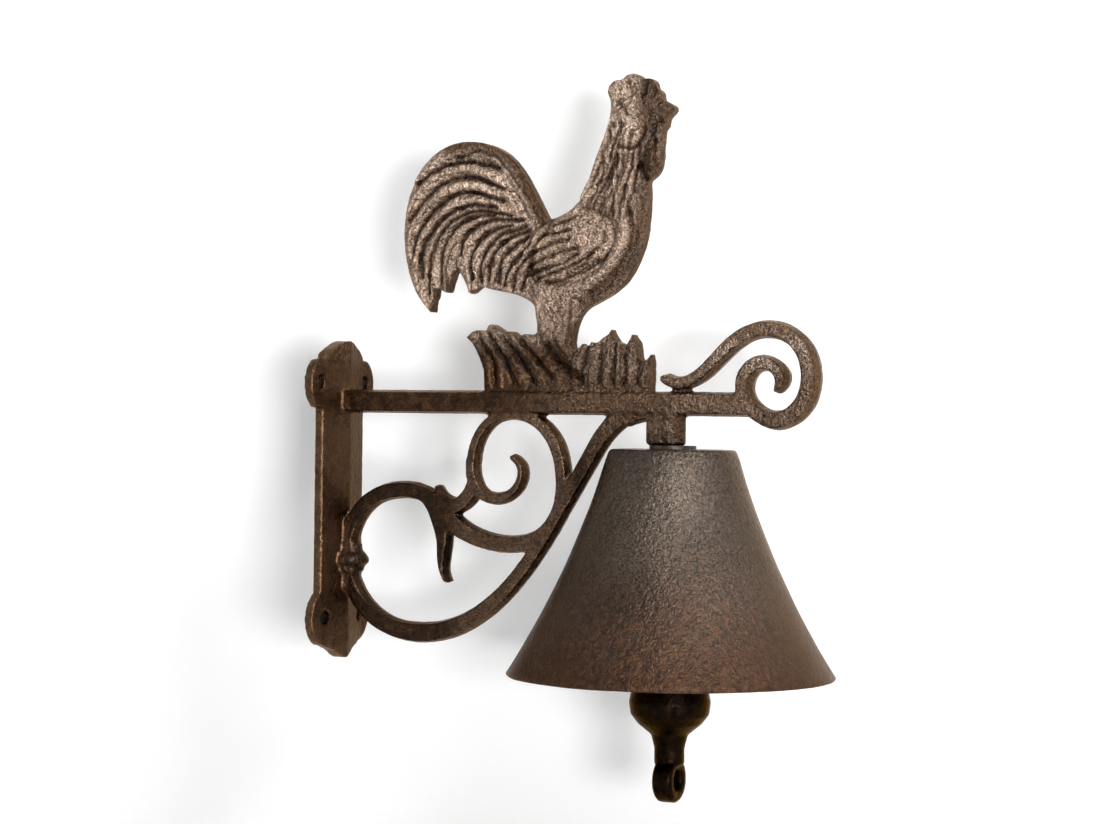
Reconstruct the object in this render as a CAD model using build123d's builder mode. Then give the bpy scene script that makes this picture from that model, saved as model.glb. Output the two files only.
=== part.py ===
from build123d import *
import os

# Cast iron wall bell: a bracket with a rooster on its bar, and a bell with its clapper.
# X runs out of the wall, Y along the wall and Z up. The wall is the plane x = 0,
# and the bracket is flat and symmetric about its parting plane y = 0.

# Wall plate
plate_height = 127.0
plate_waist = 32.5  # width between the lobes
plate_edge = 3.7  # thickness at the edge of the waist
plate_lobe = 3.9  # thickness at the lobes' outer edge
plate_ridge = 7.0  # thickness on the centre line
screw_hole = 5.2  # diameter
top_hole_spacing = 35.0
bottom_hole_spacing = 26.4
hole_height = 46.8  # of both pairs above and below the plate's middle
top_lobe = 7.2  # radius about the upper holes
bottom_lobe = 9.3  # radius about the lower holes

# Bar
bar_level = 39.4  # height of the bar's centre
bar_height = 9.4
bar_face = 7.3  # height of its flat faces
bar_depth = 10.5  # along the wall
bar_reach = 178.0

# Scrolls under the bar and at its end
scroll_depth = 8.0
scroll_draft = 0.9  # taken off each side of a strip between the parting plane and its face
tail_depth = 10.5
station = 8.0  # spacing of the sections that shape a smooth strip
cut = 9.0  # and of the cuts along a carved one
least_half = 0.35  # half width of the narrowest tip

# Rooster and grass
core_depth = 6.0
feather_depth = 8.4
body_depth = 8.8
grass_depth = 9.0
clump_depth = 7.6  # of the grass between its blades
wing_lift = 1.6  # how much deeper the wing's feathers and the hackles are
hackle_lift = 0.6
feather_draft = 1.7
blade_draft = 1.4
lap = 0.24  # how far a feather stands proud of the one beside it

# Bell
bell_axis = 147.2  # distance from the wall
mouth = 125.0  # diameter
crown = 48.6  # diameter
bell_height = 86.0
bell_wall = 3.2
crown_thickness = 4.0
crown_edge = 1.0  # broken edge of the crown
flare_level = 0.54  # height share of the flare's middle point
flare_share = 0.445  # of the widening that is reached there
flare_steps = 4  # cones that make up the flare

# Boss and fasteners
boss_diameter = 9.8
boss_bottom = 23.6
boss_rib = 9.7  # distance from the bell's axis to the rib's end
thread = 5.0  # diameter of the eye bolt
thread_clearance = 0.1
bolt_engagement = 9.0
washer_diameter = 17.8
washer_thickness = 1.3
washer_bore = 5.4
inner_washer_diameter = 12.0
inner_washer_thickness = 1.2
nut_flats = 8.0
nut_thickness = 4.0
crown_hole = 5.8

# Clapper train
hang_clearance = 0.3
eye_wire = 3.5  # diameter
eye_bore = 9.0
eye_neck = 1.6  # shank below the nut
eye_break = 0.24  # share of a ring's section that its broken edges take
link_wire = 2.5  # diameter
link_bore = 5.2  # inside width of the link
link_pitch = 13.0  # between the wires that the link joins
clapper_eye_wire = 3.8  # diameter
clapper_eye_bore = 4.8
ball = 31.0  # diameter
ball_below_rim = 9.4
stem = 6.4  # diameter between the eye and the ball
neck = 11.4  # diameter below the ball
neck_drop = 17.5  # from the ball's middle to the neck
neck_length = 6.0
tail_eye_outside = 17.0
tail_eye_bore = 7.6
tail_eye_depth = 8.0
tail_eye_drop = 29.5  # from the ball's middle to the eye's centre

# The ball's outline as shares of its radius, out from its axis and up from its middle
ball_outline = [
    (0.21, 0.98), (0.62, 0.785), (0.92, 0.39), (1, 0), (0.96, -0.3), (0.78, -0.53), (0.45, -0.8),
]


def strip(points, widths, depth, draft, carved=False):
    """A cast strip whose centre line runs through the points, from one width to the next.

    A carved one has the short flat cuts of a feather or a blade along its sides.
    """
    centre = Spline(*points)
    steps = max(3, round(centre.length / (cut if carved else station)))
    shares = [i / steps for i in range(steps + 1)]
    spots = [centre @ share for share in shares]
    sides = [(centre % share).rotate(Axis.Z, 90) for share in shares]
    spans = [width_at(widths, share) for share in shares]
    start, end = centre % 0, centre % 1
    with BuildPart() as piece:
        for level, inset in ((-depth / 2, draft), (0, 0), (depth / 2, draft)):
            halves = [max(span / 2 - inset, least_half) for span in spans]
            left = [p + s * h for p, s, h in zip(spots, sides, halves)]
            right = [p - s * h for p, s, h in zip(spots, sides, halves)]
            with BuildSketch(Plane.XZ.offset(level)):
                with BuildLine():
                    if carved:
                        Polyline(*left, *right[::-1], close=True)
                    else:
                        add(Edge.make_spline(left, parameters=shares))
                        Polyline(left[-1], spots[-1] + end * halves[-1] * 0.6, right[-1])
                        add(Edge.make_spline(right[::-1], parameters=shares))
                        Polyline(right[0], spots[0] - start * halves[0] * 0.6, left[0])
                make_face()
        loft(ruled=True)
    return piece.part


def width_at(widths, share):
    """The width at a share of the strip's length, from evenly spaced widths."""
    place = share * (len(widths) - 1)
    step = min(int(place), len(widths) - 2)
    return widths[step] + (place - step) * (widths[step + 1] - widths[step])


def cast_eye(level, bore, wall, depth):
    """A cast ring in the plane of the bell's axis and the wall, its edges broken."""
    with BuildPart() as piece:
        with BuildSketch(Plane.YZ.offset(bell_axis)):
            with Locations((0, level)):
                Circle(bore / 2 + wall)
                Circle(bore / 2, mode=Mode.SUBTRACT)
        extrude(amount=depth / 2, both=True)
        chamfer(piece.edges().filter_by(GeomType.CIRCLE), min(wall, depth) * eye_break)
    return piece.part


# Wall plate: a lobed outline under a low ridge, with four screw holes
half_plate = plate_height / 2
half_waist = plate_waist / 2
top_y = top_hole_spacing / 2
bottom_y = bottom_hole_spacing / 2
with BuildPart() as plate:
    with BuildSketch(Plane.YZ):
        with BuildLine():
            Spline(
                (0, half_plate),
                (-8, half_plate - 2.2),
                (-half_waist + 1, half_plate - 7.5),
                tangents=((-1, 0), (-0.35, -1)),
            )
            Line((-half_waist + 1, half_plate - 7.5), (-half_waist + 1, 0))
            Line((-half_waist + 1, 0), (0, 0))
            Line((0, 0), (0, half_plate))
        make_face()
        with BuildLine():
            Line((0, 0), (-half_waist + 1, 0))
            Line((-half_waist + 1, 0), (-half_waist + 1, -half_plate + 7.5))
            Spline(
                (-half_waist + 1, -half_plate + 7.5),
                (-7.5, -half_plate + 3.6),
                (0, -half_plate),
                tangents=((0.5, -1), (1, -0.25)),
            )
            Line((0, -half_plate), (0, 0))
        make_face()
        with Locations((-half_waist / 2, 0)):
            Rectangle(half_waist, plate_height - 36)
        with Locations((-top_y, hole_height - 0.6)):
            Ellipse(top_lobe, top_lobe + 2.6)
        with Locations((-bottom_y, -hole_height - 0.4)):
            Ellipse(bottom_lobe, bottom_lobe + 1.4)
        mirror(about=Plane.YZ)
    extrude(amount=plate_ridge)
    with BuildSketch(Plane.XY):
        with BuildLine():
            Polyline(
                (0, -plate_height),
                (plate_lobe, -plate_height),
                (plate_lobe, -half_waist * 1.7),
                (plate_edge, -half_waist),
                (plate_ridge, 0),
                (plate_edge, half_waist),
                (plate_lobe, half_waist * 1.7),
                (plate_lobe, plate_height),
                (0, plate_height),
                close=True,
            )
        make_face()
    extrude(amount=plate_height, both=True, mode=Mode.INTERSECT)

# Bar, drafted to both faces
with BuildPart() as bar:
    with BuildSketch(Plane.YZ.offset(plate_edge)):
        with BuildLine():
            Polyline(
                (0, bar_level + bar_height / 2),
                (bar_depth / 2, bar_level + bar_face / 2),
                (bar_depth / 2, bar_level - bar_face / 2),
                (0, bar_level - bar_height / 2),
                (-bar_depth / 2, bar_level - bar_face / 2),
                (-bar_depth / 2, bar_level + bar_face / 2),
                close=True,
            )
        make_face()
    extrude(amount=bar_reach - plate_edge)

bar_top = bar_level + bar_height / 2
bar_bottom = bar_level - bar_height / 2

# Scrollwork under the bar
lower_scrolls = [
    strip(
        [
            (52, -3.5), (47, 0.6), (40, 3.6), (30.6, 4.4), (17, -0.3), (9, -11), (7, -23), (10, -35),
            (22, -47.5), (40, -51.8), (56, -48.9), (71, -40.3), (83, -28.6), (93.5, -14.5), (103, 1),
            (112, 16), (121, 29.5), (133, bar_level - 2),
        ],
        [6.6, 7.2, 7, 6.6, 7.4, 8.4, 7.8, 6.8, 6.6, 6.6, 7.2, 9],
        scroll_depth,
        scroll_draft,
    ),
    strip(
        [
            (49, -2.5), (57, -9.6), (70, -14.8), (84, -15.4), (95, -10.5), (101, -1), (102, 10),
            (99.8, 21.5), (92, 31.4), (80, 35.2), (69, 30.5), (63.6, 20), (63.6, 9), (69, 2.6), (76, 2.2),
            (82.6, 6.2), (84.6, 12.2), (80.4, 18.2),
        ],
        [9, 8, 7.4, 7, 6.4, 6, 6, 6, 5.6, 5, 4.8, 5.4, 5.4, 4.2, 3.4],
        scroll_depth,
        scroll_draft,
    ),
    strip([(50, -2), (56, -1.6), (61, 1.8), (63.8, 9)], [6, 6.8, 7, 5.4], scroll_depth, scroll_draft),
    strip([(55, -0.8), (50.6, 1.6), (47.8, 6.4)], [6, 4.6, 2], scroll_depth, scroll_draft),
    strip(
        [(38, 3.8), (44, 1), (47.8, -4.5), (50, -11.5), (50.6, -19), (50.2, -26), (52.6, -31.4)],
        [6.8, 7.4, 8.6, 7.6, 6.4, 4.8, 1.4],
        scroll_depth,
        scroll_draft * 1.6,
    ),
    strip([(128, 33.5), (134, 35.5), (143, 36)], [7, 7, 6], scroll_depth, scroll_draft),
]

# Scroll at the bar's end, from the leaf foot on the bar round to the curl's tip
tail_scroll = strip(
    [
        (144.4, 49.2), (148.6, 47.4), (154, 47.8), (161.5, 52.6), (171.5, 62), (179, 66.4), (187, 67.4),
        (195.6, 64.2), (201, 57.2), (202.4, 49), (200.2, 40.6), (195.6, 35.6), (188.6, 33.6), (181.8, 36.3),
        (177.4, 41), (176.2, 46.6), (178.6, 52.4), (184.2, 55), (189.4, 53), (191, 48.6), (189.4, 44.4),
    ],
    [4.6, 5.6, 5.8, 6.2, 6.7, 7, 7, 7, 7.2, 7.5, 7.6, 6.7, 6.2, 6.7, 6.1, 3.2],
    tail_depth,
    scroll_draft,
)

# Collar where the large scroll passes the plate
with BuildPart() as collar:
    with BuildSketch(Plane.XZ):
        with BuildLine():
            Polyline(
                (7.6, -17.6), (12.4, -17.6), (12.4, -20.2), (13.6, -21.4), (15.2, -23.4), (15.2, -25),
                (13.4, -26.8), (13.2, -28.8), (7.6, -28.8),
                close=True,
            )
        make_face()
    revolve(axis=Axis((7.6, 0, 0), (0, 0, 1)))
    with BuildSketch(Plane.YZ):
        with Locations((0, -23)):
            Rectangle(20, 20)
    extrude(amount=-5, mode=Mode.SUBTRACT)

# Boss over the bell: a round post with a rib towards the arch
with BuildPart() as boss:
    with BuildSketch(Plane.XY.offset(boss_bottom)):
        with Locations((bell_axis, 0)):
            Circle(boss_diameter / 2)
        with Locations((bell_axis - boss_rib / 2, 0)):
            Rectangle(boss_rib, scroll_depth)
    extrude(amount=bar_level - boss_bottom)
    chamfer(boss.faces().sort_by(Axis.Z)[0].edges(), 0.9)

# Rooster: the whole outline first, then its relief on both sides
with BuildPart() as rooster:
    with BuildSketch(Plane.XZ.offset(-core_depth / 2)):
        with BuildLine():
            Polyline((106, 58), (91, 58), (90.3, 75.7))
            Spline((90.3, 75.7), (86, 79.4), (76, 82.4), (66, 84.8))
            Polyline(
                (66, 84.8), (61.7, 81.6), (57.9, 88.5), (55.4, 92.2), (51.1, 81.9), (46.6, 84.6),
                (44.3, 74.4),
            )
            Spline(
                (44.3, 74.4), (37.6, 82.4), (33, 94.5), (31.8, 108), (34.6, 122.4), (42.4, 134.8),
                (53, 140.6), (66, 140.8), (77.4, 135.6), (85.6, 125.8), (94.8, 109.9),
            )
            Spline((94.8, 109.9), (103, 112.8), (109.6, 118.6), (115, 130.6), (119.6, 143), (120.6, 155.4))
            ThreePointArc((120.6, 155.4), (120.8, 161.6), (125.4, 162.6))
            ThreePointArc((125.4, 162.6), (129.8, 165), (134, 162.2))
            ThreePointArc((134, 162.2), (137.4, 162.6), (139.4, 158.8))
            ThreePointArc((139.4, 158.8), (141.6, 157.4), (141.8, 154.6))
            Polyline(
                (141.8, 154.6), (147, 152), (147.3, 150.2), (144.4, 147.2), (144, 144.6), (140.6, 140.6),
            )
            Spline((140.6, 140.6), (141.9, 134.4), (141, 128.2), (136.6, 124))
            Spline(
                (136.6, 124), (136.4, 108), (133.4, 95.4), (126.6, 84.8), (117, 78.4), (110, 74.4),
                (107, 69), (106, 58),
            )
        make_face()
    extrude(amount=core_depth)

long_feathers = [
    [(37, 126.4), (47, 134.4), (58, 137.6), (68, 136.8), (77, 131.2), (84, 121.6), (89, 112)],
    [(33.6, 113.6), (41.4, 125.4), (51, 130.2), (62, 131), (71, 127.6), (78, 119.6), (84, 110)],
    [(33.8, 100), (37.4, 111.6), (45.6, 119.8), (56, 124), (66, 123.4), (74, 117.6), (80, 109)],
    [(44.3, 75.4), (37.4, 88), (38.4, 99.6), (43.6, 108.6), (52, 115.4), (61, 118), (70, 116), (78, 109)],
    [(45.4, 80.4), (43.4, 92), (46.2, 102.4), (52, 109.6), (60, 113), (70, 111.8), (78, 107)],
    [(51.1, 82.6), (50, 92), (52.6, 101), (58, 107), (66, 109.8), (76, 108)],
    [(56.4, 91.8), (57.2, 98), (62.2, 103.8), (69, 106.6), (78, 105.6)],
    [(61.7, 82.2), (61, 90), (64.4, 97.4), (70.6, 102.2), (79, 103.6)],
    [(66, 85), (66.2, 91.4), (70.4, 96.6), (78, 100)],
    [(71, 83.8), (71.6, 89.6), (76, 94), (83, 97)],
    [(76.4, 82.6), (77.4, 87), (81, 90.4), (87, 93)],
]
wing_feathers = [
    [(90.4, 103.8), (98, 107.8), (108.6, 110.4)],
    [(87.8, 99.4), (97, 104), (113, 107.4)],
    [(87.4, 95), (98, 99.6), (115.6, 103.4)],
    [(89.4, 91), (100, 95), (115.6, 98.8)],
    [(93, 87.8), (103, 90.8), (112.6, 94.2)],
]
hackles = [
    [(122.6, 149), (116.6, 132), (109, 117.4)],
    [(126, 147), (121, 130.6), (113.6, 113.6)],
    [(129.6, 144), (125.6, 127.6), (119.4, 109.6)],
    [(133.6, 139), (130.6, 124), (126, 106)],
]
relief = []
for i, line in enumerate(long_feathers):
    relief.append(strip(line, [2, 5.6, 6.4, 6.6, 5], feather_depth + lap * (i % 3), feather_draft, True))
for i, line in enumerate(wing_feathers):
    depth = feather_depth + wing_lift + lap * (i % 2)
    relief.append(strip(line, [2, 4.8, 4.8, 2.4], depth, blade_draft, True))
for i, line in enumerate(hackles):
    depth = feather_depth + hackle_lift + lap * (i % 2)
    relief.append(strip(line, [5, 6, 2.4], depth, feather_draft, True))

# Each form of the body and head: its line, its widths and how much deeper than the body it is
forms = [
    # breast, wing, thigh and leg
    ([(131, 119), (129.6, 106), (124, 94), (113, 85.6), (100, 82)], [6, 9, 11, 12, 9], 0),
    ([(85.6, 95.4), (97, 99.6), (109, 102.4), (119.4, 103)], [8, 20, 22, 18, 7], 0.6),
    ([(101, 91), (98, 84), (98, 74), (98.6, 56)], [20, 20, 15, 11], 0.3),
    # head, ear lobe, wattle and beak
    ([(126, 148), (131, 152.6), (139, 153)], [9, 11, 7], 0.4),
    ([(141.6, 145.6), (140.4, 138), (138.8, 128)], [3.6, 5.4, 5], 0.8),
    ([(128.6, 143), (127.6, 138.6), (127.4, 136)], [3.6, 4.4, 3], 1.6),
    ([(138, 151), (142.4, 151), (146, 150.4)], [7, 4.6, 1.6], -0.6),
]
for line, widths, lift in forms:
    relief.append(strip(line, widths, body_depth + lift, min(feather_draft, min(widths) * 0.5), True))

# Grass: one clump on the bar with two rows of tips, and the blades raised on both its faces
with BuildPart() as clump:
    with BuildSketch(Plane.XZ.offset(-clump_depth / 2)):
        with BuildLine():
            Polyline(
                (68.9, bar_level), (68.3, 51.6), (66.3, 56.8), (63.3, 62), (60.4, 64.8), (63.3, 67.2),
                (66.8, 67.6), (69, 66.6), (70.5, 70), (76.8, 66.4), (79.4, 67.2), (83.1, 64.1), (85.2, 66),
                (90, 65.6), (98, 62), (105.4, 60.2), (107.8, 60.2), (110.1, 62.4), (112, 60.6),
                (113.4, 62.8), (116, 62), (118.6, 64), (122.1, 67.9), (124.2, 63), (126.6, 62.2),
                (127.8, 58.6), (130.9, 66.3), (132.8, 63.6), (134, 56), (135.6, 55.4), (138.9, 58.4),
                (138.4, bar_level),
                close=True,
            )
        make_face()
    extrude(amount=clump_depth)

blades = [
    ([(70.6, 45), (69.6, 55), (63, 64.6)], [5, 5, 2.6]),
    ([(76, 45), (74.4, 56), (67.4, 66)], [4, 4.6, 2.2]),
    ([(86, 46), (79.6, 57), (71.2, 68.4)], [5, 5.6, 2.6]),
    ([(94, 47), (87, 57), (79.8, 65.6)], [5, 5, 2.2]),
    ([(101, 49), (93.6, 57), (86, 64.6)], [4.4, 4.6, 2.2]),
    ([(107.6, 46), (107.2, 54), (109.8, 61)], [4.4, 4.4, 2.2]),
    ([(113.8, 45.4), (115, 54), (114.4, 61.6)], [4, 4.6, 2.4]),
    ([(120.6, 45.4), (121.6, 56), (122, 66.6)], [4.6, 5.2, 1.2]),
    ([(125.6, 45.4), (126, 53), (126, 61)], [3.6, 3.6, 1.2]),
    ([(130.4, 45.4), (131, 56), (130.9, 65)], [4.4, 4.6, 1.2]),
    ([(136.2, 45.4), (136.4, 51), (138.2, 57)], [4, 3.6, 1]),
]
grass = [clump.part]
for i, (line, widths) in enumerate(blades):
    grass.append(strip(line, widths, grass_depth + lap * (i % 3), blade_draft, True))

with BuildPart() as bracket:
    add(plate.part)
    add([bar.part, collar.part, boss.part, tail_scroll, *lower_scrolls])
    add([rooster.part, *relief])
    add(grass)
    with Locations(Plane.YZ.offset(plate_ridge)):
        for spread, level in ((top_y, hole_height), (bottom_y, -hole_height)):
            with Locations((-spread, level), (spread, level)):
                Hole(screw_hole / 2, depth=plate_ridge)
    with Locations(Plane(origin=(bell_axis, 0, boss_bottom), z_dir=(0, 0, -1))):
        Hole(thread / 2 + thread_clearance, depth=bolt_engagement + 1)
bracket.part.label = "bracket"

# Bell: one flared casting with a flat crown, its wall between two arcs
crown_top = boss_bottom - washer_thickness
rim = crown_top - bell_height
crown_r = crown / 2
mouth_r = mouth / 2
middle_r = crown_r + flare_share * (mouth_r - crown_r)
washer_top = crown_top - crown_thickness
middle_level = crown_top - bell_height * flare_level
flare = ThreePointArc((crown_r, crown_top), (middle_r, middle_level), (mouth_r, rim))
inside = ThreePointArc(
    (mouth_r - bell_wall, rim),
    (middle_r - bell_wall, middle_level),
    (crown_r - bell_wall + crown_thickness * 0.3, washer_top),
)
turning_plane = Plane(origin=(bell_axis, 0, 0), x_dir=(1, 0, 0), z_dir=(0, -1, 0))
turning_axis = Axis((bell_axis, 0, 0), (0, 0, 1))
with BuildPart() as bell:
    with BuildSketch(turning_plane):
        with BuildLine():
            Polyline(
                (0, crown_top),
                *[flare @ (i / flare_steps) for i in range(flare_steps + 1)],
                *[inside @ (i / flare_steps) for i in range(flare_steps + 1)],
                (0, washer_top),
                close=True,
            )
        make_face()
    revolve(axis=turning_axis)
    chamfer(bell.faces().sort_by(Axis.Z)[-1].edges(), crown_edge)
    with Locations((bell_axis, 0, crown_top)):
        Hole(crown_hole / 2, depth=crown_thickness)
bell.part.label = "bell"

# Washers either side of the crown, and the nut under them
with BuildPart() as crown_washer:
    with BuildSketch(Plane.XY.offset(crown_top)):
        with Locations((bell_axis, 0)):
            Circle(washer_diameter / 2)
            Circle(washer_bore / 2, mode=Mode.SUBTRACT)
    extrude(amount=washer_thickness)
crown_washer.part.label = "crown_washer"

with BuildPart() as inner_washer:
    with BuildSketch(Plane.XY.offset(washer_top)):
        with Locations((bell_axis, 0)):
            Circle(inner_washer_diameter / 2)
            Circle(washer_bore / 2, mode=Mode.SUBTRACT)
    extrude(amount=-inner_washer_thickness)
inner_washer.part.label = "inner_washer"

nut_top = washer_top - inner_washer_thickness
with BuildPart() as nut:
    with BuildSketch(Plane.XY.offset(nut_top)):
        with Locations((bell_axis, 0)):
            RegularPolygon(nut_flats / 2, 6, major_radius=False)
            Circle(thread / 2 + thread_clearance, mode=Mode.SUBTRACT)
    extrude(amount=-nut_thickness)
nut.part.label = "nut"

# Eye bolt: its shank rises through the nut and the crown into the boss
eye_outer = eye_bore / 2 + eye_wire
eye_level = nut_top - nut_thickness - eye_neck - eye_outer
with BuildPart() as eye_bolt:
    add(cast_eye(eye_level, eye_bore, eye_wire, eye_wire))
    with BuildSketch(Plane.XY.offset(eye_level + eye_bore / 2 + eye_wire / 2)):
        with Locations((bell_axis, 0)):
            Circle(thread / 2)
    extrude(amount=boss_bottom + bolt_engagement - eye_level - eye_bore / 2 - eye_wire / 2)
    chamfer(eye_bolt.faces().sort_by(Axis.Z)[-1].edges(), thread * 0.1)
eye_bolt.part.label = "eye_bolt"

# Link: a closed oval of wire about the lowest part of the eye
swing_level = eye_level - eye_bore / 2 - eye_wire / 2
clapper_level = swing_level - link_pitch
bend = link_bore / 2 + link_wire / 2
upper_bend = swing_level + eye_wire / 2 + hang_clearance + link_wire / 2 - bend
lower_bend = clapper_level + bend
with BuildPart() as link:
    with BuildLine(turning_plane) as link_path:
        Line((-bend, lower_bend), (-bend, upper_bend))
        ThreePointArc((-bend, upper_bend), (0, upper_bend + bend), (bend, upper_bend))
        Line((bend, upper_bend), (bend, lower_bend))
        ThreePointArc((bend, lower_bend), (0, lower_bend - bend), (-bend, lower_bend))
    with BuildSketch(Plane(origin=(bell_axis - bend, 0, lower_bend), z_dir=(0, 0, 1))):
        RegularPolygon(link_wire / 2, 8)
    sweep(path=link_path.wire())
link.part.label = "link"

# Clapper: one casting, from its eye on the link to the ring at its tail
eye_bottom = clapper_level + link_wire / 2 + hang_clearance - clapper_eye_bore
ball_level = rim - ball_below_rim
ball_r = ball / 2
neck_level = ball_level - neck_drop
tail_level = ball_level - tail_eye_drop
with BuildPart() as clapper:
    add(cast_eye(eye_bottom + clapper_eye_bore / 2, clapper_eye_bore, clapper_eye_wire, clapper_eye_wire))
    with BuildSketch(turning_plane):
        with BuildLine():
            Polyline(
                (0, eye_bottom - clapper_eye_wire / 2),
                (stem / 2, eye_bottom - clapper_eye_wire / 2),
                *[(ball_r * out, ball_level + ball_r * up) for out, up in ball_outline],
                (neck / 2, neck_level),
                (neck / 2, neck_level - neck_length),
                (0, neck_level - neck_length),
                close=True,
            )
        make_face()
    revolve(axis=turning_axis)
    add(cast_eye(tail_level, tail_eye_bore, (tail_eye_outside - tail_eye_bore) / 2, tail_eye_depth))
clapper.part.label = "clapper"

os.makedirs("parts", exist_ok=True)
for piece in (bracket, bell, crown_washer, inner_washer, nut, eye_bolt, link, clapper):
    export_step(piece.part, f"parts/{piece.part.label}.step")
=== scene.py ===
# Looks of the cast iron wall bell, in the part's own frame:
# x runs out of the wall, y along it and z up, and the casting's parting plane is y = 0.
# The part's sizes are written in millimetres and turned to metres with MM; the stage's are metres.
import math

import bmesh
import bpy
import numpy as np
from mathutils import Matrix, Vector, noise


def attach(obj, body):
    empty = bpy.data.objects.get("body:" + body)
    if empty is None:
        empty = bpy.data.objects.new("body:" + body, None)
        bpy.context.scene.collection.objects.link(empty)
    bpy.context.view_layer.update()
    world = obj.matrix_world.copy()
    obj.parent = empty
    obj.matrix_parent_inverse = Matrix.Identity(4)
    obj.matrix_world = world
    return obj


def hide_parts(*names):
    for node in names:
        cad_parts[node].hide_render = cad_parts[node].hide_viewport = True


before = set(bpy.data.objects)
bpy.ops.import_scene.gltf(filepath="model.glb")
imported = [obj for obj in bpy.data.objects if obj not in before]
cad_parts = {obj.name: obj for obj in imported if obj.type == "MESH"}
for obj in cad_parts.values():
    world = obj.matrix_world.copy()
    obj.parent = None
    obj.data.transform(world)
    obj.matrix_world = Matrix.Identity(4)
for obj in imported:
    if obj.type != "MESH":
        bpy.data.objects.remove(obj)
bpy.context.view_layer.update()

MM = 0.001

# The bell: its axis from the wall, and the heights of its crown and rim
BELL_AXIS = 147.2
CROWN_TOP = 22.3
CROWN_UNDERSIDE = 18.3
RIM = -63.7

# The wall plate: its depth, and its screw holes as places along the wall and heights
PLATE_DEPTH = 9
SCREW_HOLE_RADIUS = 2.6
SCREW_HOLES = [(17.5, 46.8), (13.2, -46.8)]

# The bar's top, the rooster's height above the grass, where the end scroll starts, and a height just
# above it
BAR_TOP = 46
FIGURE_FOOT = 72
END_SCROLL_START = 141
END_SCROLL_TOP = 76


# Tools


def shape_from(bm, name):
    """A piece with the bmesh's shape, its object at the origin."""
    mesh = bpy.data.meshes.new(name)
    bm.to_mesh(mesh)
    bm.free()
    piece = bpy.data.objects.new(name, mesh)
    bpy.context.scene.collection.objects.link(piece)
    return piece


def settle(piece):
    """Applies the piece's modifiers to its mesh."""
    graph = bpy.context.evaluated_depsgraph_get()
    done = bpy.data.meshes.new_from_object(piece.evaluated_get(graph))
    piece.modifiers.clear()
    piece.data = done


def smooth_shade(piece):
    for polygon in piece.data.polygons:
        polygon.use_smooth = True


def cast_from(node, name, grain, rounding):
    """A copy of a CAD node with the soft corners of a sand casting."""
    bm = bmesh.new()
    bm.from_mesh(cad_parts[node].data)
    bmesh.ops.remove_doubles(bm, verts=bm.verts, dist=0.004 * MM)
    piece = shape_from(bm, name)
    remesh = piece.modifiers.new("skin", "REMESH")
    remesh.mode = "VOXEL"
    remesh.voxel_size = grain * MM
    soften = piece.modifiers.new("soften", "SMOOTH")
    soften.factor = 0.5
    soften.iterations = rounding
    settle(piece)
    smooth_shade(piece)
    return piece


def points_of(piece):
    """The piece's points and their normals, in millimetres."""
    mesh = piece.data
    places = np.empty(len(mesh.vertices) * 3, np.float32)
    mesh.vertices.foreach_get("co", places)
    normals = np.empty(len(mesh.vertices) * 3, np.float32)
    mesh.vertices.foreach_get("normal", normals)
    return places.reshape(-1, 3).astype(float) / MM, normals.reshape(-1, 3).astype(float)


def move_points(piece, places):
    piece.data.vertices.foreach_set("co", (places * MM).astype(np.float32).ravel())
    piece.data.update()


def unevenness(places, size, seed):
    """Smooth noise from -1 to 1 with bumps of that size in millimetres."""
    shift = Vector((seed * 17.3, seed * 5.1, seed * 9.7))
    return np.array([noise.noise(Vector(place) / size + shift) for place in places])


def scales(places, size):
    """Rounded bumps of that size in millimetres, 1 at their tops and lower between them."""
    return np.array([1 - noise.voronoi(Vector(place) / size)[0][0] for place in places])


def between(values, low, high):
    """A smooth rise from 0 at the low value to 1 at the high one, or a fall where low is the larger."""
    share = np.clip((values - low) / (high - low), 0, 1)
    return share * share * (3 - 2 * share)


def distance_to(line, flat):
    """The distance from each place of the parting plane to the line."""
    best = np.full(len(flat), np.inf)
    for start, end in zip(np.array(line[:-1]), np.array(line[1:])):
        along = end - start
        share = np.clip((flat - start) @ along / (along @ along), 0, 1)
        best = np.minimum(best, np.linalg.norm(flat - start - share[:, None] * along, axis=1))
    return best


def near(flat, lines, width):
    """How near each place lies to the lines: 1 on them, and about a third at the width in millimetres."""
    return np.exp(-(np.min([distance_to(line, flat) for line in lines], axis=0) / width) ** 2)


def mark(piece, name, values):
    """Keeps a value from 0 to 1 at each of the piece's points for its material."""
    layer = piece.data.attributes.new(name, "FLOAT", "POINT")
    layer.data.foreach_set("value", np.clip(values, 0, 1).astype(np.float32))


def finish_piece(piece, body, material, node):
    piece.data.materials.clear()
    piece.data.materials.append(material)
    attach(piece, body)
    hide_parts(node)


# Materials


def linear(hex_colour):
    """The linear colour of an sRGB hex value."""
    parts = [int(hex_colour[i:i + 2], 16) / 255 for i in (1, 3, 5)]
    return tuple(c / 12.92 if c <= 0.04045 else ((c + 0.055) / 1.055) ** 2.4 for c in parts) + (1.0,)


def add_node(tree, kind, settings=None, stops=(), **inputs):
    """Adds a node; an input is a value, or another node's output to link.

    An input is named by its label, or as _0 by its number. The stops of a colour ramp are places with
    their hex colours.
    """
    made = tree.nodes.new(kind)
    for key, value in (settings or {}).items():
        setattr(made, key, value)
    for place, colour in stops[1:-1]:
        made.color_ramp.elements.new(place).color = linear(colour)
    for end in (0, -1) if stops else ():
        made.color_ramp.elements[end].position = stops[end][0]
        made.color_ramp.elements[end].color = linear(stops[end][1])
    for key, value in inputs.items():
        socket = made.inputs[int(key[1:])] if key[0] == "_" else made.inputs[key.replace("_", " ")]
        if isinstance(value, bpy.types.NodeSocket):
            tree.links.new(value, socket)
        else:
            socket.default_value = value
    return made


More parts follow.
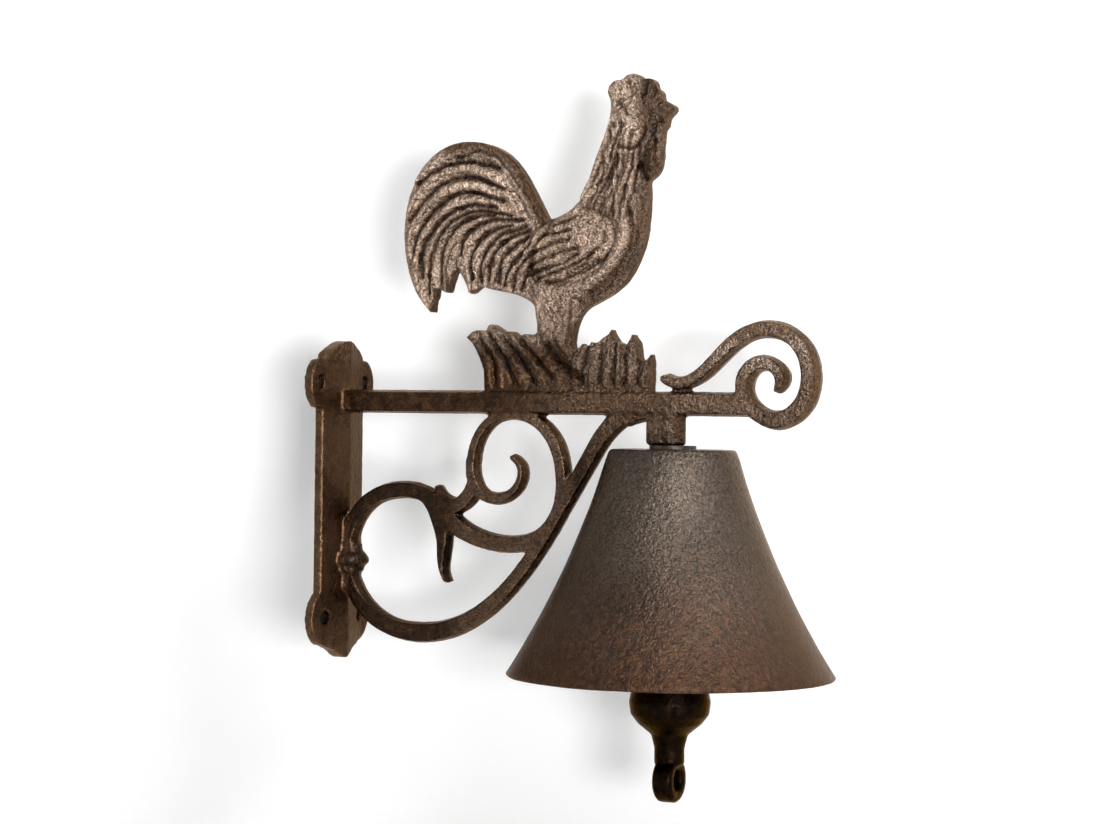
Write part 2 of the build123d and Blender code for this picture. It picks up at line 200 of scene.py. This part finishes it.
def new_material(name):
    material = bpy.data.materials.new(name)
    material.use_nodes = True
    tree = material.node_tree
    tree.nodes.clear()
    return material, tree


def sand_cast_iron(name, tones, worn_and_glint, grain, bite, patch, roughness, dulling, lacquer):
    """Grey iron as it left the sand, lacquered brown: gritty, with bare iron and painted glints on the
    sand's peaks, and painted shade in its pits and hollows.

    tones are the deep, body, rust and dust colours and patch how wide their patches are, and
    worn_and_glint is the colour of bared iron and of the painted glints. grain is the sand's size as it
    shows and bite how deep it is. The sizes are millimetres; the real sand is finer, but would be lost
    between the pixels. Rust dulls the iron and the lacquer adds a colourless sheen. Attributes say how
    gritty a place is, how bare and painted with glints, how rusty, and how much painted shade its
    hollows get.
    """
    material, tree = new_material(name)
    place = add_node(tree, "ShaderNodeTexCoord").outputs["Object"]
    grit, bare_and_glint, rusty, hollow_shade = [
        add_node(tree, "ShaderNodeAttribute", {"attribute_name": mark_name}).outputs["Fac"]
        for mark_name in ("grit", "bare_and_glint", "rusty", "hollow_shade")
    ]
    sand = add_node(
        tree, "ShaderNodeTexNoise", Vector=place, Scale=1 / (grain * MM), Detail=2.0, Roughness=0.6
    ).outputs["Fac"]
    cloud = add_node(
        tree, "ShaderNodeTexNoise", Vector=place, Scale=1 / (patch * MM), Detail=6.0, Roughness=0.75
    ).outputs["Fac"]

    # Colour: patches from deep brown to dust, bare iron with painted glints on the sand's peaks, and painted
    # shade in its pits and hollows
    warmth = add_node(
        tree, "ShaderNodeMath", {"operation": "MULTIPLY_ADD"}, _0=rusty, _1=0.3, _2=cloud
    ).outputs[0]
    tint = add_node(
        tree, "ShaderNodeValToRGB", stops=list(zip((0.38, 0.5, 0.65, 0.84), tones)), _0=warmth
    ).outputs["Color"]
    peaks = add_node(
        tree, "ShaderNodeMapRange", Value=sand, From_Min=0.37, From_Max=0.68, To_Min=0.25
    ).outputs[0]
    bare_glint_share = add_node(
        tree, "ShaderNodeMath", {"operation": "MULTIPLY"}, _0=peaks, _1=bare_and_glint
    ).outputs[0]
    rubbed_and_glinting = add_node(
        tree, "ShaderNodeMix", {"data_type": "RGBA"}, _0=bare_glint_share, _6=tint, _7=linear(worn_and_glint)
    ).outputs[2]
    # Painted shade: the hollows and the sand's low pits darken the colour
    sunk_shade = add_node(
        tree, "ShaderNodeMapRange", Value=hollow_shade, To_Min=1.0, To_Max=0.42
    ).outputs[0]
    pit_shade = add_node(
        tree, "ShaderNodeMapRange", Value=sand, From_Min=0.36, From_Max=0.48, To_Min=0.6
    ).outputs[0]
    shade = add_node(
        tree, "ShaderNodeMath", {"operation": "MULTIPLY"}, _0=pit_shade, _1=sunk_shade
    ).outputs[0]
    colour = add_node(
        tree, "ShaderNodeVectorMath", {"operation": "SCALE"}, _0=rubbed_and_glinting, Scale=shade
    ).outputs[0]

    # Grit: the sand's grains on lumps about three times as wide
    lumps = add_node(
        tree, "ShaderNodeTexNoise", Vector=place, Scale=0.36 / (grain * MM), Detail=1.0
    ).outputs["Fac"]
    both = add_node(
        tree, "ShaderNodeMath", {"operation": "MULTIPLY_ADD"}, _0=lumps, _1=1.3, _2=sand
    ).outputs[0]
    height = add_node(
        tree, "ShaderNodeMath", {"operation": "MULTIPLY"}, _0=both, _1=grit
    ).outputs[0]
    relief = add_node(
        tree, "ShaderNodeBump", Strength=1.0, Distance=bite * MM, Height=height
    ).outputs["Normal"]

    shine = add_node(
        tree, "ShaderNodeMapRange", Value=warmth, From_Min=0.3, From_Max=0.9,
        To_Min=roughness - 0.06, To_Max=roughness + dulling,
    ).outputs[0]
    surface = add_node(
        tree, "ShaderNodeBsdfPrincipled", Base_Color=colour, Roughness=shine,
        Metallic=1.0, Specular_Tint=linear("#e0cdbb"), Normal=relief,
        Coat_Weight=lacquer, Coat_Roughness=0.24, Coat_Normal=relief,
    )
    add_node(tree, "ShaderNodeOutputMaterial", Surface=surface.outputs[0])
    return material


def plated_steel(name, colour, roughness):
    """Zinc-plated steel that has dulled outdoors: a grey sheen with fine mottling."""
    material, tree = new_material(name)
    place = add_node(tree, "ShaderNodeTexCoord").outputs["Object"]
    mottle = add_node(
        tree, "ShaderNodeTexNoise", Vector=place, Scale=1 / (2.5 * MM), Detail=4.0
    ).outputs["Fac"]
    tint = add_node(
        tree, "ShaderNodeValToRGB", stops=[(0.35, "#2c2723"), (0.6, colour), (0.8, "#6a4a36")], _0=mottle
    ).outputs["Color"]
    shine = add_node(
        tree, "ShaderNodeMapRange", Value=mottle, To_Min=roughness - 0.1, To_Max=roughness + 0.15
    ).outputs[0]
    relief = add_node(
        tree, "ShaderNodeBump", Strength=0.5, Distance=0.05 * MM, Height=mottle
    ).outputs["Normal"]
    surface = add_node(
        tree, "ShaderNodeBsdfPrincipled", Base_Color=tint, Roughness=shine, Metallic=0.9, Normal=relief
    )
    add_node(tree, "ShaderNodeOutputMaterial", Surface=surface.outputs[0])
    return material


casting_iron = sand_cast_iron(
    "brown_lacquered_sand_cast_iron", ("#0e0804", "#1a1009", "#372312", "#4e3724"), "#dcc4b0",
    grain=0.72, bite=0.9, patch=4.0, roughness=0.27, dulling=0.04, lacquer=0.1,
)
bell_iron = sand_cast_iron(
    "brown_lacquered_bell_iron", ("#060403", "#130d07", "#28170c", "#442a17"), "#d8c2ae",
    grain=0.65, bite=0.6, patch=2.8, roughness=0.25, dulling=0.2, lacquer=0.2,
)
clapper_iron = sand_cast_iron(
    "brown_lacquered_clapper_iron", ("#080502", "#110b07", "#1e130c", "#23180f"), "#85705d",
    grain=0.9, bite=0.3, patch=4.0, roughness=0.36, dulling=0.1, lacquer=0.0,
)
dull_steel = plated_steel("dulled_zinc_plated_steel", "#5a5048", 0.45)


# The figure on the bracket: its lines, as distances from the wall and heights in millimetres

grass_tips = [(122.1, 67.9), (130.9, 66.3), (138.5, 58.4), (109.9, 62.4), (113.6, 62.9)]
tail_valleys = [
    [(37.7, 125), (43, 128.8), (49.5, 131.9), (56, 133.3), (63.2, 133.2), (73.7, 130.4)],
    [
        (34, 111.3), (38.3, 115.9), (42.3, 120.5), (47.1, 124.4), (52.8, 126.7), (58.5, 127.6),
        (64.9, 126.7), (76.2, 122.5),
    ],
    [
        (36.2, 98.3), (37.2, 104), (40, 109), (44.8, 114.7), (50.5, 118.9), (56.9, 121.2),
        (63.4, 121.4), (76.2, 117.5),
    ],
    [
        (40.3, 88.1), (39.4, 95.3), (40.9, 101.8), (46.5, 108.9), (50.6, 112.4), (55.4, 115.2),
        (63.4, 116.8), (73.1, 115.1),
    ],
    [
        (43.6, 82.2), (43.5, 89.5), (44.3, 96.7), (47.4, 103.8), (52.2, 109.5), (58.7, 112.9),
        (65.9, 114.2), (79.5, 111.7),
    ],
    [
        (48.9, 86.5), (48.8, 93.7), (49.1, 98), (51.1, 103), (54.7, 107.3), (59.5, 110.8),
        (65.9, 112.1), (72, 112),
    ],
    [(57.3, 97.2), (58, 102.2), (61.2, 106.4), (65.2, 108.5), (71.5, 110.5), (84.3, 109.9)],
    [(62.6, 87.8), (61.7, 93.5), (62.5, 97.8), (65.2, 102.1), (69.2, 105.6), (79.5, 108.2)],
    [(66.3, 86.3), (66.2, 92), (67.7, 97), (70.9, 101.2), (75.6, 104.7), (85.1, 107.4)],
    [(69.9, 87), (69.8, 92), (71.7, 96.9), (74.9, 100.4), (79.6, 103.9), (86.7, 105.9)],
    [(73.9, 86.2), (74.2, 91.2), (75.7, 95.4), (78.9, 99), (86.7, 103.8)],
    [(76.7, 84.8), (77.8, 89.7), (79.7, 93.3), (87.5, 100.9)],
    [(79.9, 84), (81, 88.3), (82.9, 91.8), (88, 96.7)],
    [(83.8, 83.3), (85, 87.5), (88, 92.4)],
]
tail_top = [
    (55.1, 134.9), (64.8, 137.5), (72.8, 135.1), (77.7, 129.6), (84.1, 121.6), (88.9, 114.4), (92.2, 108.6),
]
tail_band = [(52, 139), (66, 140.4), (77, 135.4), (85, 125.6), (91, 115), (94, 109)]
wing_grooves = [
    [(91.7, 102.6), (95, 104), (98, 105.2)],
    [(98.3, 107.7), (102.1, 108.8), (106.5, 110.5)],
    [(88.9, 97.1), (92.8, 98.8), (96.7, 100.7), (105, 102.3)],
    [(98.3, 104.2), (105.5, 106)],
    [(88.2, 92.6), (96.7, 96), (108.3, 99)],
    [(87.7, 89.1), (97.4, 91.7), (102.3, 93.1), (108.3, 96.5)],
    [(91.3, 87.3), (100.7, 90.1), (108.4, 93), (114.9, 97.4)],
    [(95.2, 86), (102.4, 86.6), (111.1, 91), (117.1, 94.4)],
    [(110.1, 89), (116.6, 92.9), (120.3, 96.3)],
]
wing_edge = [
    (108.6, 114.4), (114.7, 112.8), (120.2, 110.2), (122.6, 107.7), (123.2, 103.7), (122.5, 98.8),
    (120.4, 94.8), (117.1, 90.9), (113.9, 88.5), (109.6, 86.3), (103, 85), (95.2, 85.1),
    (89.6, 86.5), (87.5, 89.3), (89.5, 99.3), (94.4, 104.8), (97.1, 109.5),
]
wing_coverts = [(108, 106), (116, 103)]
breast_edge = [(135.6, 122), (135, 106), (131, 94), (122, 84.6), (112, 77)]
breast_band = [(126, 113), (127.4, 104), (124.6, 96), (119.4, 89.6), (112, 84.6), (99, 82)]
breast_valley = [
    (129.9, 112), (131.1, 104), (129.5, 98.1), (126.9, 93.7), (123.7, 89.8), (119.4, 85.9), (112.9, 81.5),
]
thigh = [(101, 62), (103, 82)]
neck = [(121, 113), (127, 150)]
hackle_lines = [
    [(121.6, 133.8), (118.9, 126.7), (115.6, 120.7), (111, 115.4)],
    [(124.3, 133.7), (122.2, 127.6), (119.5, 121.1), (116.9, 113.2)],
    [(127.4, 134.6), (126.1, 128.5), (123.4, 121.5), (121.8, 110.6)],
    [(130.4, 133.5), (129.9, 128.4), (127.3, 121.4), (124.5, 110.6)],
    [(133.8, 130.3), (131.6, 125.3), (131.1, 120.8), (127.7, 109.5)],
    [(122.4, 146), (119.6, 139), (117.4, 131), (113, 122)],
    [(125.6, 146), (123.6, 140), (121.6, 133.8)],
]
head_grooves = [
    [(128.4, 161.4), (129.9, 156.3)],
    [(135.6, 162.6), (134.5, 156.1)],
    [(140, 160.4), (138.4, 155.4)],
    [(124.1, 154.5), (128.6, 149.2)],
    [(138.5, 145.3), (142.9, 146.1), (146.2, 146.3)],
]
eye = (129.6, 152.6)
lobe_crescent = [(125.4, 137.2), (129.8, 136), (132.6, 137.4), (134.2, 140.9), (135.2, 144.4)]
lobe_hollow = [(130, 141), (130, 143)]
wattle = [(137.6, 137), (137.2, 127.6)]
wattle_grooves = [
    [(133.7, 137.4), (133.2, 131.4), (134.9, 125.7), (138.3, 122.6)],
    [(140.2, 139.2), (139.8, 133.2), (140.4, 128.1)],
]
grass_valleys = [
    [(73.3, 46), (72, 55.5), (66.5, 64)],
    [(81, 46.5), (77, 56.5), (70, 66)],
    [(90, 47.5), (83.3, 57), (76, 65.5)],
    [(97.5, 49), (90.3, 57), (83.3, 64)],
    [(110.5, 47), (111, 54), (112, 60)],
    [(117.2, 47), (118.4, 54.5), (118.2, 62)],
    [(123.2, 47), (124, 54), (124.3, 62)],
    [(128, 47), (128.5, 53), (127.9, 58)],
    [(133.4, 47), (133.8, 52), (134.2, 55.4)],
]
foot_groove = [(95.2, 61.4), (99.1, 56), (110, 48.3)]
toe = [(101, 64), (104.6, 57), (111, 51.4)]

# What is carved along them: the lines, how deep or high, and how wide, in millimetres
grooves = [
    (tail_valleys, 1.0, 0.7),
    (tail_valleys, 0.6, 1.8),
    (wing_grooves, 1.3, 0.65),
    ([wing_edge], 0.9, 0.9),
    ([breast_valley], 1.1, 1.6),
    ([tail_top], 1.0, 0.9),
    (head_grooves, 1.0, 0.8),
    ([lobe_crescent], 1.2, 0.8),
    (wattle_grooves, 1.2, 0.9),
    ([foot_groove], 1.4, 1.9),
    (grass_valleys, 1.2, 0.75),
]
ridges = [
    ([breast_band], 0.8, 2.6),
    ([toe], 0.9, 1.6),
    ([wattle], 0.8, 1.8),
    ([lobe_hollow], -0.5, 1.3),
]

# The bracket's casting: the steps between the figure's strips are smoothed away along the wall

bracket = cast_from("bracket", "bracket_casting", grain=0.66, rounding=3)
places, _ = points_of(bracket)
x, z = places[:, 0], places[:, 2]
rooster = (z > FIGURE_FOOT) & ((x < 142) | (z > END_SCROLL_TOP))
legs = (z > 61) & (x > 89) & (x < 109)
group = bracket.vertex_groups.new(name="figure")
group.add(np.flatnonzero(rooster | legs).tolist(), 1.0, "REPLACE")
flatten = bracket.modifiers.new("flatten", "SMOOTH")
flatten.use_x = flatten.use_z = False
flatten.iterations = 14
flatten.vertex_group = "figure"
settle(bracket)

# The blades of grass end in points, narrower and thinner than the strips they are cast from
TIP_WIDTH = 0.25
TIP_DEPTH = 0.6
places, _ = points_of(bracket)
for tip_x, tip_z in grass_tips:
    beside = tip_x - places[:, 0]
    rise = between(places[:, 2], tip_z - 4.6, tip_z + 0.2) * (places[:, 2] < tip_z + 0.8)
    rise *= between(abs(beside), 3.4, 2.2)
    places[:, 0] += beside * (1 - TIP_WIDTH) * rise
    places[:, 1] *= 1 - (1 - TIP_DEPTH) * rise
move_points(bracket, places)

# The figure and the grass are carved on both faces, along lines that wander a little. The carving
# starts where a normal turns towards the face and is full where it nearly faces it.
FACE_START, FACE_FULL = 0.2, 0.75
WANDER, HACKLE_WANDER = 0.45, 0.8
BARB, GRASS_LUMP = 1.5, 3.4
places, normals = points_of(bracket)
x, z = places[:, 0], places[:, 2]
above_bar = (z > BAR_TOP) & ((x < END_SCROLL_START) | (z > END_SCROLL_TOP))
carved = np.flatnonzero(above_bar & (abs(normals[:, 1]) > FACE_START))
spots = places[carved]
wander = np.stack([unevenness(spots, 3.0, seed) for seed in (5, 6)], axis=1)
flat = spots[:, ::2] + WANDER * wander
dug = sum(depth * near(flat, lines, width) for lines, depth, width in grooves)
dug += 1.1 * near(flat + HACKLE_WANDER * wander, hackle_lines, 0.8)
raised = sum(height * near(flat, lines, width) for lines, height, width in ridges)

# Ruffled feathers over the wing's coverts and down the neck, about level on the whole
FEATHER, FEATHER_HEIGHT, FEATHER_LEVEL = 2.3, 1.5, 0.55
ruffled = near(flat, [wing_coverts], 5.5) + 0.5 * near(flat, [neck], 7)
raised += FEATHER_HEIGHT * (scales(spots, FEATHER) - FEATHER_LEVEL) * ruffled

# The eye is a bead in a ring
EYE_BEAD, EYE_RING, RING_WIDTH = 0.9, 1.9, 0.5
from_eye = np.linalg.norm(flat - eye, axis=1)
dug += 0.6 * np.exp(-((from_eye - EYE_RING) / RING_WIDTH) ** 2)
raised += 0.4 * np.exp(-(from_eye / EYE_BEAD) ** 2)

# Barbs all over, and lumps in the grass
in_grass = spots[:, 2] < FIGURE_FOOT
barbs = 0.5 * unevenness(spots, BARB, 7) + 0.3 * unevenness(spots, GRASS_LUMP, 12) * in_grass
facing = between(abs(normals[carved, 1]), FACE_START, FACE_FULL)
places[carved, 1] += np.sign(spots[:, 1]) * facing * (raised + barbs - dug)

# The whole casting is a little lumpy, and stays clear of the wall
WALL_CLEARANCE = 0.02
lumps = 0.10 * unevenness(places, 9.0, 1) + 0.08 * unevenness(places, 2.6, 2)
places += normals * lumps[:, None]
places[:, 0] = np.maximum(places[:, 0], WALL_CLEARANCE)
move_points(bracket, places)

# Where it is gritty, worn bare, rusty or hollow, each from 0 to 1; the bare iron also carries painted
# glints and highlights, and the hollows carry painted shade. The places and heights are where one look
# passes into the next.
x, z = places[:, 0], places[:, 2]
outward = normals[:, 0]
on_plate = x < PLATE_DEPTH
past_bell = x > END_SCROLL_START
upper = between(z, 56, FIGURE_FOOT)
right_half = between(x, 70, 118) * between(z, 12, 34)
scrolls = between(x, 52, 62) * between(x, 112, 100) * between(z, 37, 33)
right_grass_highlight = between(x, 103, 110) * between(z, 66, 60) * between(z, BAR_TOP, 56)
body = between(x, 82, 90) * between(z, 122, 112)

grit = 0.3 + 0.7 * np.maximum(between(z, BAR_TOP, 66), right_half)

# Bare iron, partly wear and partly painted highlight and glints: most on the rooster, some on the bar's right
# half, the end scroll, the scrolls and the right-hand grass
bare_and_glint = 0.01 + np.maximum(0.07 * right_half * between(z, 60, 48), 0.49 * upper)
bare_and_glint = np.where(past_bell & (z < 74), 0.13, bare_and_glint)
bare_and_glint += 0.02 * on_plate + 0.06 * scrolls + 0.2 * right_grass_highlight
# Painted highlight on the side walls that turn towards the bar's end, low down and on the end scroll
bare_and_glint += 0.13 * between(outward, 0.3, 0.8) * ((z < 62) | past_bell)
# The breast's raised band is lighter, partly wear and partly painted highlight
bare_and_glint[carved] += upper[carved] * facing * 0.12 * near(flat, [breast_band], 4)
# Painted shade in the grooves: they lose the bare iron and glints by their depth
bare_and_glint[carved] *= 1 - 0.9 * np.clip((dug - 0.35) / 0.8, 0, 1) * facing
bare_and_glint[carved] *= 1 - 0.9 * near(flat, [tail_band], 3.4)
bare_and_glint[carved] *= 1 - 0.38 * near(flat, [thigh], 7)

# Painted shade on the rooster's breast edge, its face and the edges that turn towards the bar's end
painted_shade = np.maximum(between(x, 130, 135) * (z > 122), between(outward, 0.2, 0.7))
painted_shade[carved] = np.maximum(painted_shade[carved], near(flat, [breast_edge], 5))
bare_and_glint *= 1 - 0.85 * painted_shade

# It is worn unevenly, and most on the rooster's tail, neck and head, and its painted glints with it
bare_and_glint *= 1 + 0.45 * unevenness(places, 11.0, 9)
bare_and_glint *= 1 + 0.3 * (z > END_SCROLL_TOP) * (1 - body)

# The screw holes get painted shade inside, and the carved grooves painted shade by their depth
from_hole = np.min([np.hypot(abs(places[:, 1]) - y, z - height) for y, height in SCREW_HOLES], axis=0)
in_hole = between(from_hole, SCREW_HOLE_RADIUS + 0.7, SCREW_HOLE_RADIUS) * on_plate
bare_and_glint *= 1 - in_hole
hollow_shade = np.zeros(len(places))
hollow_shade[carved] = facing * (dug - raised - 0.5)
hollow_shade = np.maximum(hollow_shade, in_hole)

rusty = 0.2 + 0.25 * between(z, 60, BAR_TOP) * between(z, 20, 40) + upper * (0.7 - 0.6 * painted_shade)
# More rust on the plate, the scrolls and the bar's right half; on the scrolls it is partly a painted
# highlight
rusty += 0.8 * on_plate + 0.35 * scrolls + 0.2 * right_half

mark(bracket, "grit", grit)
mark(bracket, "bare_and_glint", bare_and_glint)
mark(bracket, "hollow_shade", hollow_shade)
mark(bracket, "rusty", rusty * (1 - 0.5 * in_hole))

BRACKET_FACES = 92000
thin = bracket.modifiers.new("thin", "DECIMATE")
thin.ratio = min(1, BRACKET_FACES / len(bracket.data.polygons))
settle(bracket)
smooth_shade(bracket)
finish_piece(bracket, "frame", casting_iron, "bracket")

# The bell, turned from its profile of radii and heights


def arc_through(first, middle, last, count):
    """Points on the circle through three points of the profile."""
    (ax, ay), (bx, by), (cx, cy) = first, middle, last
    d = 2 * (ax * (by - cy) + bx * (cy - ay) + cx * (ay - by))
    ux = ((ax**2 + ay**2) * (by - cy) + (bx**2 + by**2) * (cy - ay) + (cx**2 + cy**2) * (ay - by)) / d
    uy = ((ax**2 + ay**2) * (cx - bx) + (bx**2 + by**2) * (ax - cx) + (cx**2 + cy**2) * (bx - ax)) / d
    radius = math.hypot(ax - ux, ay - uy)
    start = math.atan2(ay - uy, ax - ux)
    end = math.atan2(cy - uy, cx - ux)
    turn = (end - start + math.pi) % (2 * math.pi) - math.pi
    angles = [start + turn * i / count for i in range(count + 1)]
    return [(ux + radius * math.cos(angle), uy + radius * math.sin(angle)) for angle in angles]


BOLT_HOLE = 2.9
CROWN_EDGE = 24.3
CROWN_INNER_EDGE = 22.2
WAIST = -24.1

outside = arc_through((CROWN_EDGE, CROWN_TOP), (41.3, WAIST), (62.4, RIM + 0.7), 44)
inside = arc_through((59.3, RIM), (38.1, WAIST), (CROWN_INNER_EDGE, CROWN_UNDERSIDE), 36)
crown_top = [(BOLT_HOLE + i * 3.3, CROWN_TOP) for i in range(6)]
crown_corner = [(22.6, CROWN_TOP), (23.6, CROWN_TOP - 0.25), (CROWN_EDGE, CROWN_TOP - 1.0)]
rim = [(62.0, RIM + 0.1), (61.2, RIM), (60.2, RIM)]
crown_underside = [(CROWN_INNER_EDGE - i * 3.2, CROWN_UNDERSIDE) for i in range(1, 7)]
profile = crown_top + crown_corner + outside[2:] + rim + inside + crown_underside

bm = bmesh.new()
ring = [bm.verts.new(((BELL_AXIS + radius) * MM, 0, height * MM)) for radius, height in profile]
edges = [bm.edges.new((ring[i], ring[(i + 1) % len(ring)])) for i in range(len(ring))]
bmesh.ops.spin(
    bm, geom=ring + edges, cent=(BELL_AXIS * MM, 0, 0), axis=(0, 0, 1), angle=2 * math.pi, steps=220,
    use_merge=True,
)
bmesh.ops.remove_doubles(bm, verts=bm.verts, dist=0.001 * MM)
bmesh.ops.recalc_face_normals(bm, faces=bm.faces)
bell = shape_from(bm, "bell_casting")
smooth_shade(bell)

# Its wall is a little lumpy, but not where the washers sit, and its skin lies a little inside the CAD's
# wall, to leave room for the lumps. Its foot is rustier, and towards the crown it gets more bare iron
# and painted highlight.
SKIN = 0.1
WASHER_SEAT = 12
places, normals = points_of(bell)
height = places[:, 2]
from_axis = np.hypot(places[:, 0] - BELL_AXIS, places[:, 1])
lumps = 0.14 * unevenness(places, 14.0, 3) + 0.05 * unevenness(places, 4.0, 4)
lumps *= np.clip((from_axis - WASHER_SEAT) / 8, 0, 1)
move_points(bell, places + normals * (lumps - SKIN)[:, None])
mark(bell, "grit", 0.7 + 0.3 * unevenness(places, 24.0, 8))
mark(bell, "bare_and_glint", (0.13 + 0.07 * unevenness(places, 24.0, 10)) * between(height, -75, 5))
mark(bell, "rusty", 0.8 * between(height, 10, -60))
finish_piece(bell, "frame", bell_iron, "bell")

# The clapper and what it hangs on

clapper = cast_from("clapper", "clapper_casting", grain=0.5, rounding=6)
mark(clapper, "grit", np.full(len(clapper.data.vertices), 0.5))
finish_piece(clapper, "clapper", clapper_iron, "clapper")
eye_bolt = cast_from("eye_bolt", "bent_eye_bolt", grain=0.3, rounding=4)
finish_piece(eye_bolt, "frame", dull_steel, "eye_bolt")
link = cast_from("link", "wire_link", grain=0.25, rounding=3)
finish_piece(link, "link", dull_steel, "link")
for name in ("crown_washer", "inner_washer", "nut"):
    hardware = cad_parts[name]
    hardware.data.materials.clear()
    hardware.data.materials.append(dull_steel)

# Stage: a pale backdrop close behind the bell and a pale floor under it, both seen from one side only


def background_rays(tree, low, high):
    """The high value where the camera, a reflection or a refraction sees the background, else the low one."""
    path = add_node(tree, "ShaderNodeLightPath").outputs
    seen = path["Is Camera Ray"]
    for ray in ("Is Glossy Ray", "Is Transmission Ray"):
        seen = add_node(tree, "ShaderNodeMath", {"operation": "MAXIMUM"}, _0=seen, _1=path[ray]).outputs[0]
    return add_node(tree, "ShaderNodeMapRange", Value=seen, To_Min=low, To_Max=high).outputs[0]


def pale_paper(name, lift):
    """Matt white paper, lifted to white where no shadow falls."""
    material, tree = new_material(name)
    sheet = add_node(tree, "ShaderNodeBsdfDiffuse", Color=linear("#f4f4f4"))
    glow = add_node(
        tree, "ShaderNodeEmission", Color=(1, 1, 1, 1), Strength=background_rays(tree, 0.0, lift)
    )
    both = add_node(tree, "ShaderNodeAddShader", _0=sheet.outputs[0], _1=glow.outputs[0])
    clear = add_node(tree, "ShaderNodeBsdfTransparent")
    side = add_node(tree, "ShaderNodeNewGeometry").outputs["Backfacing"]
    shown = add_node(tree, "ShaderNodeMixShader", _0=side, _1=both.outputs[0], _2=clear.outputs[0])
    add_node(tree, "ShaderNodeOutputMaterial", Surface=shown.outputs[0])
    return material


def pale_sheet(name, turn, place, lift):
    """A large square sheet in metres, turned about x from lying flat."""
    bm = bmesh.new()
    bmesh.ops.create_grid(bm, x_segments=1, y_segments=1, size=1.0)
    bmesh.ops.transform(bm, matrix=Matrix.Translation(place) @ Matrix.Rotation(turn, 4, "X"), verts=bm.verts)
    sheet = shape_from(bm, name)
    sheet.data.materials.append(pale_paper(name + "_paper", lift))


pale_sheet("backdrop", turn=math.pi / 2, place=(0.1, 0.07, 0.0), lift=0.16)
pale_sheet("floor", turn=0, place=(0.1, 0.0, -0.17), lift=0.5)

# Lamps in metres and watts, aimed at the middle of the part, and a plain world

MIDDLE = Vector((0.1, 0, 0.03))


def direction(azimuth, height):
    """Away from the part; azimuth 0 is in front of the casting's face and 90 beyond the bar's end."""
    a = math.radians(azimuth)
    e = math.radians(height)
    return Vector((math.sin(a) * math.cos(e), -math.cos(a) * math.cos(e), math.sin(e)))


def lamp(name, azimuth, height, distance, size, power):
    """A square soft lamp."""
    data = bpy.data.lights.new(name, "AREA")
    data.shape = "SQUARE"
    data.size = size
    data.energy = power
    made = bpy.data.objects.new(name, data)
    bpy.context.scene.collection.objects.link(made)
    away = direction(azimuth, height)
    made.location = MIDDLE + away * distance
    made.rotation_euler = away.to_track_quat("Z", "Y").to_euler()


lamp("key", azimuth=56, height=37, distance=1.3, size=0.34, power=13.5)
lamp("front", azimuth=38, height=-3, distance=2.2, size=0.5, power=42.0)

world = bpy.data.worlds.new("studio")
bpy.context.scene.world = world
world.use_nodes = True
tree = world.node_tree
tree.nodes.clear()
sky = add_node(
    tree, "ShaderNodeBackground", Color=(1, 1, 1, 1), Strength=background_rays(tree, 0.15, 1.0)
)
add_node(tree, "ShaderNodeOutputWorld", Surface=sky.outputs[0])

# Camera at the photo's angle and place

AZIMUTH, ELEVATION = 25.5, -0.15
ROLL = math.radians(0.68)
CAMERA_PLACE = (0.5282, -0.907, 0.0332)
back = direction(AZIMUTH, ELEVATION)
right = Vector((math.cos(math.radians(AZIMUTH)), math.sin(math.radians(AZIMUTH)), 0))
up = back.cross(right)
across = right * math.cos(ROLL) + up * math.sin(ROLL)
along = up * math.cos(ROLL) - right * math.sin(ROLL)
camera_data = bpy.data.cameras.new("camera")
camera_data.sensor_width = 36
camera_data.lens = 85.1
camera = bpy.data.objects.new("camera", camera_data)
bpy.context.scene.collection.objects.link(camera)
turned = Matrix((across, along, back)).transposed().to_4x4()
camera.matrix_world = Matrix.Translation(CAMERA_PLACE) @ turned
bpy.context.scene.camera = camera
bpy.context.scene.view_settings.view_transform = "Standard"
